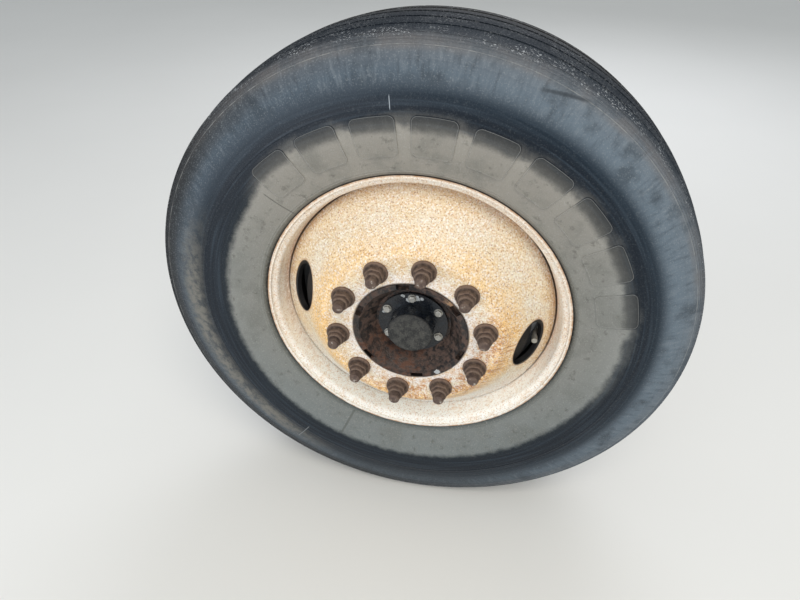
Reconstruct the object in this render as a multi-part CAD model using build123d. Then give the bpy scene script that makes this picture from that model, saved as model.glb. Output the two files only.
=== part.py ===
from build123d import *
import math
import os

# Front right wheel of a truck, on its steering knuckle, in millimetres.
# Origin: where the kingpin axis crosses the spindle axis. +Z is up, +X is the truck's forward
# direction and -Y is outboard. Distances along the spindle are given outboard of the origin,
# and angles round the spindle run from +X towards +Z.

# Places along the spindle
brake_face_out = 100.0      # the knuckle's brake face, outboard of the origin
face_reach = 234.0          # from the brake face to the wheel's mounting face
wheel_outset = 152.0        # from the rim's centre plane to the mounting face
inner_bearing_reach = 30.0  # from the brake face to the inner bearing
bearing_spread = 124.0      # from the inner bearing to the outer one

# Rim
rim_seat_dia = 571.5        # 22.5 inch bead seat
rim_width = 209.55          # between the flanges
flange_reach = 12.2         # each flange, beyond the rim width
flange_height = 12.7
flange_curl = 9.2           # bend radii on the tyre's side of the wall
heel_bend = 3.5
rim_bends = (0.0, 8.0, 0.0, 8.0, 0.0, 0.0)      # a shallow crease has none
seat_angle = 15.0
seat_length = 36.0
rim_wall = 6.0
well_depth = 19.1           # below the ledges
well_start = -8.0           # from the centre plane, outboard positive
well_end = 30.0
ledge_end = 40.0            # the flat land that the disc is welded under
inner_ramp = -30.0
ramp_depth = 3.1

# Wheel disc
disc_wall = 11.0
disc_bore_gap = 0.2         # round the hub's pilot
disc_flat_margin = 29.125   # from the studs' circle to where the outer face turns into the cone
disc_bend = 21.5            # bend radii of the outer face
skirt_bend = 17.5
skirt_end = 44.5            # outboard of the centre plane
skirt_height = 22.5
weld_gap = 0.1
hand_hole_clear = 0.147     # between the valve and the hand hole's outer side
hand_hole_long = 108.0
hand_hole_wide = 63.0
hand_hole_angles = (-9.6, 170.4)
hand_hole_edge = 2.5        # rounding of the hand hole's outer edge

# Wheel fasteners
stud_count = 10
stud_circle = 285.75
stud_phase = 8.4
stud_radius = 11.0
stud_length_out = 53.0      # beyond the mounting face
stud_point = 2.5
stud_head_radius = 15.5
stud_head_height = 8.0
stud_hole_gap = 2.0
nut_flange_reach = 12.0     # beyond the stud
nut_flange_height = 6.0
nut_flange_slope = 3.0
nut_across_flats = 33.0
nut_body = 18.0             # height of the hexagon
nut_height = 27.0
nut_crown = 3.0             # height of the turned-off corners on the hexagon
nut_collar_radius = 15.0    # the round collar above the hexagon
nut_collar_crown = 2.4
thread_gap = 0.1

# Valve
valve_radius = 4.2
valve_foot = 0.08           # of the way up the well's flank
valve_drop = 20.5           # from the well down to the valve's straight end
valve_bend = 18.0
valve_tail = 8.0            # on the tyre's side of the flank
valve_tip_reach = 101.0     # outboard of the centre plane
valve_cap_radius = 5.6
valve_cap_length = 14.0
valve_angle = -8.0

# Tyre, 11R22.5
tyre_radius = 527.0
tread_half = 104.0
tread_drop = 8.0
shoulder_width = 7.0        # beyond the tread on each side
shoulder_drop = 19.0
section_bulge = 22.5        # widest part of the wall, beyond the rim's flange
bead_stand = 4.5            # bead's outer corner, above and beside the flange
bead_side = 2.5
bead_gap = 0.3
toe_width = 32.5            # of the bead's seat
toe_height = 6.0
bead_height = 44.0
bead_wall = 44.0            # thickness of the wall at the bead, the middle and the shoulder
side_wall = 12.5
shoulder_wall = 40.0
crown_wall = 24.0
crown_corner = 23.0
crown_half = 60.0
groove_count = 4
groove_pitch = 40.0
groove_width = 9.0
groove_depth = 10.0
edge_groove_inset = 7.0     # from the tread's edge to the fine groove beside it
edge_groove_width = 4.0
edge_groove_depth = 5.0

# Brake drum
drum_flange = 13.0
drum_pilot_gap = 0.3
drum_rim_gap = 13.0         # from the drum's band to the rim's well
drum_wall = 16.0
drum_depth = 190.0
drum_flat_margin = 1.2      # inside the start of the disc's bend
band_rise = 12.5
band_width = 20.0
band_step = 6.0

# Hub
hub_flange = 22.0
hub_flange_margin = 2.0     # inside the drum's flat
hub_flange_web = 10.0       # inside the studs' heads
hub_flange_run = 36.0
pilot_margin = 33.075       # from the studs' circle in to the pilot's edge
pilot_stand = 2.0           # proud of the disc
pilot_lip = 10.8
pilot_slots = 6
pilot_slot_phase = -22.0
pilot_slot_width = 24.0
pilot_slot_depth = 11.0
hub_mouth_margin = 5.5      # round the cap's flange
hub_barrel_wall = 15.0      # round the inner bearing
hub_waist_wall = 22.0       # round the outer bearing
hub_barrel_run = 14.0
hub_waist_run = 44.0
hub_seal_depth = 5.0
hub_mouth_depth = 17.0
hub_cavity_step = 6.0
hub_cavity_run = 20.0

# Bearings and spindle
inner_bearing_width = 36.0
inner_bearing_radius = 65.0
inner_journal_radius = 35.0
outer_bearing_width = 36.0
outer_bearing_radius = 50.0
outer_journal_radius = 25.0
bearing_face = 2.0
bearing_taper = 9.0
running_gap = 0.05
seat_gap = 0.3
spindle_shoulder = 9.0      # steps up from the inner journal
spindle_root = 8.0
root_land = 6.0
root_run = 20.0
journal_run = 8.0
waist_rise = 4.0
waist_run = 30.0
journal_lead = 6.0
thread_drop = 4.0
thread_relief = 3.0
thread_length = 42.0
spindle_washer = 4.0
spindle_nut_rise = 8.0      # half the width across the flats, beyond the thread
spindle_nut_height = 20.0
nut_clearance = 1.0

# Hub cap
cap_bolt_circle = 114.3
cap_bolt_count = 6
cap_bolt_phase = 32.0
cap_bolt_flats = 13.0
cap_bolt_head = 6.0
cap_flange = 6.0
cap_flange_margin = 10.35   # outside the bolt circle
cap_barrel_margin = 14.15   # inside it
cap_wall = 3.0
cap_height = 42.0
cap_edge = 4.0

# Knuckle
kingpin_radius = 22.8
kingpin_lean = 6.25         # top towards the truck's middle
yoke_gap_half = 62.0
yoke_ear = 52.0             # height of each ear
boss_wall = 16.2            # round the kingpin
web_start_out = 52.0
web_width = 104.0
web_inset = 10.0            # below the ears' outer ends
web_corner = 20.0
web_lap = 4.0
ear_foot = (92.0, 28.0)
knuckle_flange = 22.0
knuckle_flange_margin = 16.3
knuckle_flange_corner = 26.0
knuckle_bolt_circle = 200.0
knuckle_bolt_radius = 8.0
knuckle_bolt_flats = 24.0
knuckle_bolt_head = 10.0
knuckle_bolt_nut = 9.0
knuckle_bolt_tail = 12.0

# Tie-rod arm
arm_eye = (-205.0, 34.0)    # X and Y of the eye
arm_eye_radius = 25.0
arm_eye_bore = 11.5
arm_thickness = 30.0
arm_root = 22.0
arm_pad = (16.0, 96.0, 50.0)
arm_pad_x = -52.0
arm_seat = 12.0
arm_bolt_spread = 68.0
arm_bolt_grip = 16.0

# Brake gear on the knuckle
spider_wall = 16.0
spider_radius = 92.0
spider_leg = (236.0, 44.0)
spider_gap = 1.0
cam_inset = 59.5            # camshaft and anchor pin, inside the drum's friction face
cam_height = 34.0
cam_boss_radius = 30.0
anchor_boss_radius = 26.0
shield_wall = 3.0
shield_hole_margin = 10.0
shield_rim_inset = 2.0      # inside the drum's band
shield_rim_width = 44.0
shield_slant = 14.0
shield_bend = 6.0
shield_drum_gap = 10.0
cam_radius = 16.0
cam_gap = 0.3
cam_reach = 20.0            # beyond the spider
cam_tube_wall = 10.7
cam_tube_length = 152.0
cam_end_stand = 14.0
slack_arm = 140.0
slack_width = 24.0
slack_boss_wall = 20.0
slack_eye_radius = 15.0
slack_gap = 14.0
worm_radius = 12.0          # the adjusting screw's housing, across the boss
worm_length = 58.0
worm_offset = 32.0          # behind the camshaft
worm_flats = 14.0
worm_head = 7.0
clevis_pin_radius = 6.5
fork_gap = 0.3
fork_cheek = 7.0
fork_width = 26.0
fork_top = 38.0
fork_bridge = 16.0
push_rod_radius = 8.0
chamber_level = 128.0       # underside of the chamber
chamber_radius = 78.0
chamber_height = 120.0
chamber_foot_radius = 56.0
chamber_waist_radius = 67.0
chamber_dome_radius = 47.0
chamber_dome_drop = 16.0
clamp_reach = 6.0
clamp_half = 7.0
clamp_bevel = 2.0
chamber_hole_gap = 18.0     # round the push rod
bracket_wall = 10.0
bracket_margin = 6.0
bracket_inset = 10.0
shelf_depth = 132.0

face_out = brake_face_out + face_reach
disc_outer_out = face_out + disc_wall
hub_face_out = face_out - drum_flange
rim_mid_out = face_out - wheel_outset
inner_bearing_out = brake_face_out + inner_bearing_reach
outer_bearing_out = inner_bearing_out + bearing_spread
outer_bearing_end = outer_bearing_out + outer_bearing_width
hub_end_out = outer_bearing_end + hub_mouth_depth
cap_end_out = hub_end_out + cap_height
drum_end_out = face_out - drum_depth

seat_slope = math.tan(math.radians(seat_angle))
flange_radius = rim_seat_dia / 2 + flange_height
flange_edge = rim_width / 2 + flange_reach
seat_end = rim_width / 2 - seat_length
ledge_radius = rim_seat_dia / 2 - seat_length * seat_slope
well_radius = ledge_radius - well_depth
valve_line_radius = well_radius - valve_drop

pilot_radius = stud_circle / 2 - pilot_margin
disc_bore_radius = pilot_radius + disc_bore_gap
disc_flat_radius = stud_circle / 2 + disc_flat_margin
skirt_radius = ledge_radius - rim_wall - weld_gap
skirt_turn_out = rim_mid_out + skirt_end + skirt_height
disc_lean = math.atan2(disc_outer_out - skirt_turn_out, skirt_radius - disc_flat_radius)
cone_slope = math.tan(disc_lean)
hand_hole_half = (hand_hole_wide / 2 - hand_hole_clear) * math.cos(disc_lean)
hand_hole_radius = valve_line_radius + valve_radius + disc_wall * math.sin(disc_lean) - hand_hole_half
stud_hole_radius = stud_radius + stud_hole_gap

band_radius = well_radius - rim_wall - drum_rim_gap
drum_barrel_radius = band_radius - band_rise
drum_friction_radius = drum_barrel_radius - drum_wall
drum_flat_radius = disc_flat_radius - disc_bend * math.tan(disc_lean / 2) - drum_flat_margin
hub_flange_radius = drum_flat_radius - hub_flange_margin

cap_flange_radius = cap_bolt_circle / 2 + cap_flange_margin
cap_barrel_radius = cap_bolt_circle / 2 - cap_barrel_margin
spindle_shoulder_radius = inner_journal_radius + spindle_shoulder
spindle_root_radius = spindle_shoulder_radius + spindle_root
thread_radius = outer_journal_radius - thread_drop

yoke_half = yoke_gap_half + yoke_ear
ear_middle = yoke_gap_half + yoke_ear / 2
boss_radius = kingpin_radius + boss_wall
bolt_angles = (45, 135, 225, 315)
cam_place = (drum_friction_radius - cam_inset, cam_height)
anchor_place = (cam_inset - drum_friction_radius, 0)
cam_tube_end = brake_face_out - cam_tube_length
slack_near = slack_gap - cam_tube_end
slack_line = slack_near + slack_width / 2
chamber_x = cam_place[0] + slack_arm
shield_flat_out = brake_face_out + spider_wall + shield_wall

bottom = (Align.CENTER, Align.CENTER, Align.MIN)


def point(radius, outboard):
    """A point of a turned section: radius from the spindle axis, distance outboard."""
    return (radius, -outboard)


def turned(outline):
    return revolve(make_face(Polyline(*[point(*p) for p in outline], close=True)), Axis.Y)


def pressed(corners, bends, wall):
    """A sheet ring from the corners and bend radii of one face, with its wall to the left."""
    face = FilletPolyline(*[point(*p) for p in corners], radius=bends)
    section = make_face(offset(face, amount=wall, side=Side.LEFT, closed=True))
    return revolve(section, Axis.Y)


def upright(outboard):
    """A plane square to the spindle: X forward, Y up, its own Z pointing outboard."""
    return Plane(origin=(0, -outboard, 0), x_dir=(1, 0, 0), z_dir=(0, -1, 0)).location


def around(radius, angle, outboard):
    """A place on a circle round the spindle, with its own Z pointing outboard."""
    turn = math.radians(angle)
    middle = (radius * math.cos(turn), -outboard, radius * math.sin(turn))
    radial = (math.cos(turn), 0, math.sin(turn))
    return Plane(origin=middle, x_dir=radial, z_dir=(0, -1, 0)).location


def angles(count, phase):
    return [phase + 360.0 * step / count for step in range(count)]


def rod(radius, start_out, end_out, x=0.0, z=0.0):
    """A round bar along the spindle direction, from one distance outboard to a greater one."""
    return upright(start_out) * Pos(x, z) * Cylinder(radius, end_out - start_out, align=bottom)


def hexagon(flats):
    return RegularPolygon(flats / 2, 6, major_radius=False)


def cone_out(radius):
    """Distance outboard of the disc's outer face where it is a cone."""
    return disc_outer_out - (radius - disc_flat_radius) * cone_slope


def kingpin_y(height):
    """Y of the kingpin's leaning axis."""
    return height * math.tan(math.radians(kingpin_lean))


def drill(body, places, radius, length):
    for place in places:
        body = body - place * Cylinder(radius, length)
    return body


def stud_places(outboard):
    return [around(stud_circle / 2, angle, outboard) for angle in angles(stud_count, stud_phase)]


def bolt_places(outboard):
    return [around(knuckle_bolt_circle / 2, angle, outboard) for angle in bolt_angles]


def tyre():
    def half(radius, off):
        return point(radius, rim_mid_out + off)

    crown = tyre_radius - tread_drop
    shoulder = (tyre_radius - shoulder_drop, tread_half + shoulder_width)
    section_radius = (rim_seat_dia / 2 + tyre_radius) / 2
    section_half = flange_edge + section_bulge
    bead_top = (flange_radius + bead_stand, flange_edge + bead_side)
    curl_radius = flange_radius - flange_curl
    curl_half = rim_width / 2 + flange_curl
    curl = flange_curl + bead_gap
    corner = curl * math.sqrt(0.5)
    heel = rim_width / 2 - bead_gap
    relief = 0.8 * heel_bend
    seat = rim_seat_dia / 2 + bead_gap
    toe = (seat - toe_width * seat_slope, heel - toe_width)
    inside_low = (rim_seat_dia / 2 + bead_height, section_half - bead_wall)
    inside_crown = tyre_radius - crown_wall
    inside_high = (inside_crown - crown_corner, section_half - shoulder_wall)
    outline = [
        ThreePointArc(
            half(tyre_radius, 0),
            half(tyre_radius - tread_drop / 4, tread_half / 2),
            half(crown, tread_half),
        ),
        Line(half(crown, tread_half), half(*shoulder)),
        ThreePointArc(half(*shoulder), half(section_radius, section_half), half(*bead_top)),
        Line(half(*bead_top), half(curl_radius + curl, curl_half)),
        ThreePointArc(
            half(curl_radius + curl, curl_half),
            half(curl_radius + corner, curl_half - corner),
            half(curl_radius, curl_half - curl),
        ),
        Line(half(curl_radius, curl_half - curl), half(seat + relief, heel)),
        Line(half(seat + relief, heel), half(seat - relief * seat_slope, heel - relief)),
        Line(half(seat - relief * seat_slope, heel - relief), half(*toe)),
        Line(half(*toe), half(toe[0] + toe_height, toe[1])),
        Line(half(toe[0] + toe_height, toe[1]), half(*inside_low)),
        ThreePointArc(
            half(*inside_low),
            half(section_radius, section_half - side_wall),
            half(*inside_high),
        ),
        Line(half(*inside_high), half(inside_crown, crown_half)),
        Line(half(inside_crown, crown_half), half(inside_crown, 0)),
        Line(half(inside_crown, 0), half(tyre_radius, 0)),
    ]
    section = make_face(outline)
    section = section + mirror(section, Plane.XZ.offset(rim_mid_out))
    for step in range(groove_count):
        off = (step - (groove_count - 1) / 2) * groove_pitch
        place = Pos(tyre_radius, -(rim_mid_out + off))
        section = section - place * Rectangle(2 * groove_depth, groove_width)
    edge = tread_half - edge_groove_inset
    for side in (1, -1):
        place = Pos(tyre_radius - tread_drop, -(rim_mid_out + side * edge))
        section = section - place * Rectangle(2 * edge_groove_depth, edge_groove_width)
    return revolve(section, Axis.Y)


def rim():
    half_width = rim_width / 2
    seat_edge = rim_seat_dia / 2
    offs = [
        (flange_radius, flange_edge),
        (flange_radius, half_width),
        (seat_edge, half_width),
        (ledge_radius, seat_end),
        (ledge_radius, ledge_end),
        (well_radius, well_end),
        (well_radius, well_start),
        (ledge_radius - ramp_depth, inner_ramp),
        (ledge_radius, -seat_end),
        (seat_edge, -half_width),
        (flange_radius, -half_width),
        (flange_radius, -flange_edge),
    ]
    corners = [(radius, rim_mid_out + off) for radius, off in offs]
    bends = (flange_curl, heel_bend, *rim_bends, heel_bend, flange_curl)
    body = pressed(corners, bends, rim_wall)
    foot = Rot(0, -valve_angle, 0) * valve_foot_place()
    return drill(body, [foot], valve_radius + weld_gap, 6 * rim_wall)


def wheel_disc():
    corners = [
        (disc_bore_radius, disc_outer_out),
        (disc_flat_radius, disc_outer_out),
        (skirt_radius, skirt_turn_out),
        (skirt_radius, rim_mid_out + skirt_end),
    ]
    body = pressed(corners, (disc_bend, skirt_bend), disc_wall)
    body = drill(body, stud_places(face_out), stud_hole_radius, 4 * disc_wall)
    hole = Ellipse(hand_hole_long / 2, hand_hole_wide / 2)
    cutter = extrude(hole, 3 * disc_wall, both=True) + hand_hole_flare()
    sine = math.sin(disc_lean)
    for angle in hand_hole_angles:
        turn = math.radians(angle)
        out = (math.cos(turn) * sine, -math.cos(disc_lean), math.sin(turn) * sine)
        middle = around(hand_hole_radius, angle, cone_out(hand_hole_radius)).position
        side = (-math.sin(turn), 0, math.cos(turn))
        body = body - Plane(origin=middle, x_dir=side, z_dir=out).location * cutter
    return body


def hand_hole_flare():
    """What the hand hole's rounded outer edge takes away, as a shallow flared ellipse."""
    small = Ellipse(hand_hole_long / 2, hand_hole_wide / 2)
    large = Ellipse(hand_hole_long / 2 + hand_hole_edge, hand_hole_wide / 2 + hand_hole_edge)
    return loft([Pos(0, 0, -hand_hole_edge) * small, large])


def valve_foot_place():
    """Where the valve leaves the well's outboard flank, with its own Z square to the flank."""
    flank = math.atan2(well_depth, ledge_end - well_end)
    radius = well_radius + valve_foot * well_depth
    out = rim_mid_out + well_end + valve_foot * (ledge_end - well_end)
    square = (-math.cos(flank), -math.sin(flank), 0)
    return Plane(origin=point(radius, out), x_dir=(0, 0, 1), z_dir=square).location


def valve_stem():
    """A round stem, square out of the well's flank and bent outboard, with its cap."""
    foot = valve_foot_place()
    away = Plane(foot).z_dir
    tip_out = rim_mid_out + valve_tip_reach
    start = foot.position - away * valve_tail
    bend = foot.position + away * ((valve_line_radius - foot.position.X) / away.X)
    tip = Vector(*point(valve_line_radius, tip_out))
    path = FilletPolyline(start, bend, tip, radius=valve_bend)
    stem = sweep(Plane(origin=path @ 0, z_dir=path % 0) * Circle(valve_radius), path)
    cap = rod(valve_cap_radius, tip_out - valve_cap_length, tip_out, valve_line_radius)
    return Rot(0, -valve_angle, 0) * (stem + cap)


def wheel_studs():
    tip = face_out + stud_length_out
    back = hub_face_out - hub_flange
    shank = Pos(0, 0, back) * Cylinder(stud_radius, tip - back, align=bottom)
    shank = chamfer(shank.faces().sort_by(Axis.Z)[-1].edges(), stud_point)
    head_back = back - stud_head_height
    head = Pos(0, 0, head_back) * Cylinder(stud_head_radius, stud_head_height, align=bottom)
    return Compound(children=[place * (shank + head) for place in stud_places(0)])


def wheel_nuts():
    """Flange nuts: a coned foot, a hexagon, a round collar above it, and the stud's bore."""
    flange = stud_radius + nut_flange_reach
    half = nut_across_flats / 2
    spread = half / math.cos(math.radians(30))
    turned_off = Cylinder(spread, nut_body - nut_crown, align=bottom)
    crown = Cone(spread, half - nut_crown / 4, nut_crown, align=bottom)
    envelope = turned_off + Pos(0, 0, nut_body - nut_crown) * crown
    body = extrude(hexagon(nut_across_flats), nut_body) & envelope
    collar = Cylinder(nut_collar_radius, nut_height, align=bottom)
    body = body + chamfer(collar.faces().sort_by(Axis.Z)[-1].edges(), nut_collar_crown)
    body = body + Cone(flange, flange - nut_flange_slope, nut_flange_height, align=bottom)
    body = body - Cylinder(stud_radius + thread_gap, 4 * nut_height)
    return Compound(children=[place * body for place in stud_places(disc_outer_out)])


def brake_drum():
    bore = pilot_radius + drum_pilot_gap
    corner_out = face_out - (drum_barrel_radius - drum_flat_radius) * cone_slope
    inner_out = hub_face_out - (drum_friction_radius - drum_flat_radius) * cone_slope
    body = turned([
        (bore, hub_face_out),
        (bore, face_out),
        (drum_flat_radius, face_out),
        (drum_barrel_radius, corner_out),
        (drum_barrel_radius, drum_end_out + band_width + band_step),
        (band_radius, drum_end_out + band_width),
        (band_radius, drum_end_out),
        (drum_friction_radius, drum_end_out),
        (drum_friction_radius, inner_out),
        (drum_flat_radius, hub_face_out),
    ])
    return drill(body, stud_places(hub_face_out), stud_hole_radius, 4 * drum_flange)


def hub():
    flange_back = hub_face_out - hub_flange
    front = disc_outer_out + pilot_stand
    barrel = inner_bearing_radius + hub_barrel_wall
    waist = outer_bearing_radius + hub_waist_wall
    inner_end = inner_bearing_out - hub_seal_depth
    bearing_in = inner_bearing_out + inner_bearing_width
    cavity = outer_bearing_radius + hub_cavity_step
    lip = outer_bearing_radius - hub_cavity_step
    body = turned([
        (inner_bearing_radius, inner_end),
        (barrel, inner_end),
        (barrel, bearing_in + hub_barrel_run),
        (waist, bearing_in + hub_waist_run),
        (waist, flange_back - hub_flange_run),
        (stud_circle / 2 - stud_head_radius - hub_flange_web, flange_back),
        (hub_flange_radius, flange_back),
        (hub_flange_radius, hub_face_out),
        (pilot_radius, hub_face_out),
        (pilot_radius, front),
        (pilot_radius - pilot_lip, front),
        (cap_flange_radius + hub_mouth_margin, hub_end_out),
        (outer_bearing_radius, hub_end_out),
        (outer_bearing_radius, outer_bearing_out),
        (lip, outer_bearing_out),
        (cavity, outer_bearing_out - hub_cavity_run),
        (cavity, bearing_in),
        (inner_bearing_radius, bearing_in),
    ])
    body = drill(body, stud_places(flange_back), stud_radius + thread_gap, 4 * hub_flange)
    slot = Box(2 * pilot_lip, pilot_slot_width, 2 * pilot_slot_depth)
    for angle in angles(pilot_slots, pilot_slot_phase):
        body = body - around(pilot_radius, angle, front) * slot
    return body


def bearing(out, width, outside, journal):
    return turned([
        (journal + running_gap, out + seat_gap),
        (journal + running_gap, out + width),
        (outside - bearing_taper, out + width),
        (outside, out + width - bearing_face),
        (outside, out + seat_gap),
    ])


def inner_bearing():
    width = inner_bearing_width
    return bearing(inner_bearing_out, width, inner_bearing_radius, inner_journal_radius)


def outer_bearing():
    width = outer_bearing_width
    return bearing(outer_bearing_out, width, outer_bearing_radius, outer_journal_radius)


def hub_cap():
    barrel = cap_barrel_radius
    inside = barrel - cap_wall
    body = turned([
        (inside, hub_end_out),
        (cap_flange_radius, hub_end_out),
        (cap_flange_radius, hub_end_out + cap_flange),
        (barrel, hub_end_out + cap_flange),
        (barrel, cap_end_out),
        (0, cap_end_out),
        (0, cap_end_out - cap_wall),
        (inside, cap_end_out - cap_wall),
    ])
    edges = body.edges().filter_by(GeomType.CIRCLE).sort_by(Axis.Y)
    return fillet(edges[0], cap_edge)


def cap_bolts():
    head = extrude(hexagon(cap_bolt_flats), cap_bolt_head)
    seat = hub_end_out + cap_flange
    places = [
        around(cap_bolt_circle / 2, angle, seat) for angle in angles(cap_bolt_count, cap_bolt_phase)
    ]
    return Compound(children=[place * head for place in places])


def spindle():
    """The turned spindle, from the knuckle's brake face to its threaded end."""
    end = outer_bearing_end + thread_length
    return turned([
        (0, brake_face_out - knuckle_flange),
        (spindle_root_radius, brake_face_out - knuckle_flange),
        (spindle_root_radius, brake_face_out + root_land),
        (spindle_shoulder_radius, brake_face_out + root_run),
        (spindle_shoulder_radius, inner_bearing_out),
        (inner_journal_radius, inner_bearing_out),
        (inner_journal_radius, inner_bearing_out + inner_bearing_width + journal_run),
        (outer_journal_radius + waist_rise, outer_bearing_out - waist_run),
        (outer_journal_radius, outer_bearing_out - journal_lead),
        (outer_journal_radius, outer_bearing_end - thread_relief),
        (thread_radius, outer_bearing_end - 1),
        (thread_radius, end - thread_relief),
        (thread_radius - thread_relief, end),
        (0, end),
    ])


def ear_outline(height):
    """Outline of one ear, from its kingpin boss to the web."""
    boss = Pos(0, kingpin_y(height)) * Circle(boss_radius)
    foot = Pos(0, -(web_start_out + ear_foot[1] / 2)) * Rectangle(*ear_foot)
    edges = boss.edges() + foot.edges()
    if height < 0:
        seat = Pos(arm_pad_x + arm_seat / 2, kingpin_y(height)) * Rectangle(arm_seat, arm_pad[1])
        edges = edges + seat.edges()
    return make_hull(edges)


def knuckle():
    back = brake_face_out - knuckle_flange
    width = knuckle_bolt_circle * math.sqrt(0.5) + 2 * knuckle_flange_margin
    plate = RectangleRounded(width, width, knuckle_flange_corner)
    web = RectangleRounded(web_width, 2 * (yoke_half - web_inset), web_corner)
    body = spindle() + upright(back) * extrude(plate, knuckle_flange)
    body = body + upright(web_start_out) * extrude(web, back - web_start_out + web_lap)
    for middle in (ear_middle, -ear_middle):
        ear = extrude(ear_outline(middle), yoke_ear)
        body = body + Pos(0, 0, middle - yoke_ear / 2) * ear
    body = body - Rot(-kingpin_lean, 0, 0) * Cylinder(kingpin_radius, 4 * yoke_half)
    body = drill(body, arm_bolt_places(), knuckle_bolt_radius, 2 * (arm_pad[0] + arm_bolt_grip))
    return drill(body, bolt_places(brake_face_out), knuckle_bolt_radius, 3 * knuckle_flange)


def knuckle_bolts():
    radius = knuckle_bolt_radius - thread_gap
    back = brake_face_out - knuckle_flange
    length = shield_flat_out - back + knuckle_bolt_tail
    shank = Pos(0, 0, back) * Cylinder(radius, length, align=bottom)
    sketch = hexagon(knuckle_bolt_flats)
    head = Pos(0, 0, back - knuckle_bolt_head) * extrude(sketch, knuckle_bolt_head)
    nut = Pos(0, 0, shield_flat_out) * extrude(sketch, knuckle_bolt_nut)
    return Compound(children=[place * (shank + head + nut) for place in bolt_places(0)])


def spindle_nut():
    start = outer_bearing_end + seat_gap + nut_clearance
    flats = 2 * (thread_radius + spindle_nut_rise)
    body = upright(start + spindle_washer) * extrude(hexagon(flats), spindle_nut_height)
    body = body + rod(flats / 2 + spindle_washer, start, start + spindle_washer)
    end = start + 2 * spindle_nut_height
    return body - rod(thread_radius + thread_gap, start - spindle_washer, end)


def arm_bolt_places():
    """Where the arm's bolts enter its pad, each with its own Z pointing to the rear."""
    face = arm_pad_x - arm_pad[0]
    places = []
    for side in (1, -1):
        across = kingpin_y(-ear_middle) + side * arm_bolt_spread / 2
        middle = (face, across, -ear_middle)
        places.append(Plane(origin=middle, x_dir=(0, 0, 1), z_dir=(-1, 0, 0)).location)
    return places


def tie_rod_arm():
    thick, deep, tall = arm_pad
    seat_y = kingpin_y(-ear_middle)
    face = arm_pad_x - thick
    eye = Pos(*arm_eye) * Circle(arm_eye_radius)
    root = Pos(face + thick / 2, seat_y) * Rectangle(thick, arm_root)
    outline = make_hull(eye.edges() + root.edges())
    body = Pos(0, 0, -ear_middle - arm_thickness / 2) * extrude(outline, arm_thickness)
    body = body + Pos(face + thick / 2, seat_y, -ear_middle) * Box(thick, deep, tall)
    body = body - Pos(*arm_eye, -ear_middle) * Cylinder(arm_eye_bore, 3 * arm_thickness)
    return drill(body, arm_bolt_places(), knuckle_bolt_radius, 3 * thick)


def arm_bolts():
    length = arm_pad[0] + arm_bolt_grip
    shank = Pos(0, 0, -length) * Cylinder(knuckle_bolt_radius - thread_gap, length, align=bottom)
    bolt = shank + extrude(hexagon(knuckle_bolt_flats), knuckle_bolt_head)
    return Compound(children=[place * bolt for place in arm_bolt_places()])


def brake_spider():
    centre = Circle(spider_radius)
    cam = Pos(*cam_place) * Circle(cam_boss_radius)
    anchor = Pos(*anchor_place) * Circle(anchor_boss_radius)
    outline = make_hull(centre.edges() + cam.edges()) + make_hull(centre.edges() + anchor.edges())
    for lean in (45, -45):
        outline = outline + Rot(0, 0, lean) * Rectangle(*spider_leg)
    body = upright(brake_face_out) * extrude(outline, spider_wall)
    middle = upright(brake_face_out)
    body = drill(body, [middle], spindle_root_radius + spider_gap, 3 * spider_wall)
    body = drill(body, [middle * Pos(*cam_place)], cam_radius + cam_gap, 3 * spider_wall)
    return drill(body, bolt_places(brake_face_out), knuckle_bolt_radius, 3 * spider_wall)


def dust_shield():
    rim_out = drum_end_out - shield_drum_gap
    edge = band_radius - shield_rim_inset
    corners = [
        (spindle_root_radius + shield_hole_margin, shield_flat_out),
        (edge - shield_rim_width - shield_slant, shield_flat_out),
        (edge - shield_rim_width, rim_out),
        (edge, rim_out),
    ]
    body = pressed(corners, (shield_bend, shield_bend), shield_wall)
    cam = upright(shield_flat_out) * Pos(*cam_place)
    body = drill(body, [cam], cam_radius + cam_gap, 20 * shield_wall)
    return drill(body, bolt_places(shield_flat_out), knuckle_bolt_radius, 20 * shield_wall)


def cam_bracket():
    """The camshaft's tube, with the plate and shelf that carry the brake chamber."""
    tube_radius = cam_radius + cam_gap + cam_tube_wall
    tube = rod(tube_radius, cam_tube_end, brake_face_out, *cam_place)
    shelf_width = 2 * (chamber_radius - bracket_inset)
    foot = Pos(*cam_place) * Circle(tube_radius + bracket_margin)
    top = Pos(chamber_x, chamber_level - bracket_wall) * Rectangle(shelf_width, bracket_wall / 2)
    outline = make_hull(foot.edges() + top.edges())
    plate = upright(cam_tube_end) * extrude(outline, bracket_wall)
    shelf = Box(shelf_width, shelf_depth, bracket_wall, align=(Align.CENTER, Align.MIN, Align.MAX))
    shelf = Pos(chamber_x, -cam_tube_end - bracket_wall, chamber_level) * shelf
    body = tube + plate + shelf
    rod_hole = Pos(chamber_x, slack_line, chamber_level)
    body = drill(body, [rod_hole], push_rod_radius + chamber_hole_gap, 4 * bracket_wall)
    cam = upright(cam_tube_end) * Pos(*cam_place)
    return drill(body, [cam], cam_radius + cam_gap, 3 * cam_tube_length)


def camshaft():
    start = -(slack_near + slack_width + cam_end_stand)
    return rod(cam_radius, start, brake_face_out + spider_wall + cam_reach, *cam_place)


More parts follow.
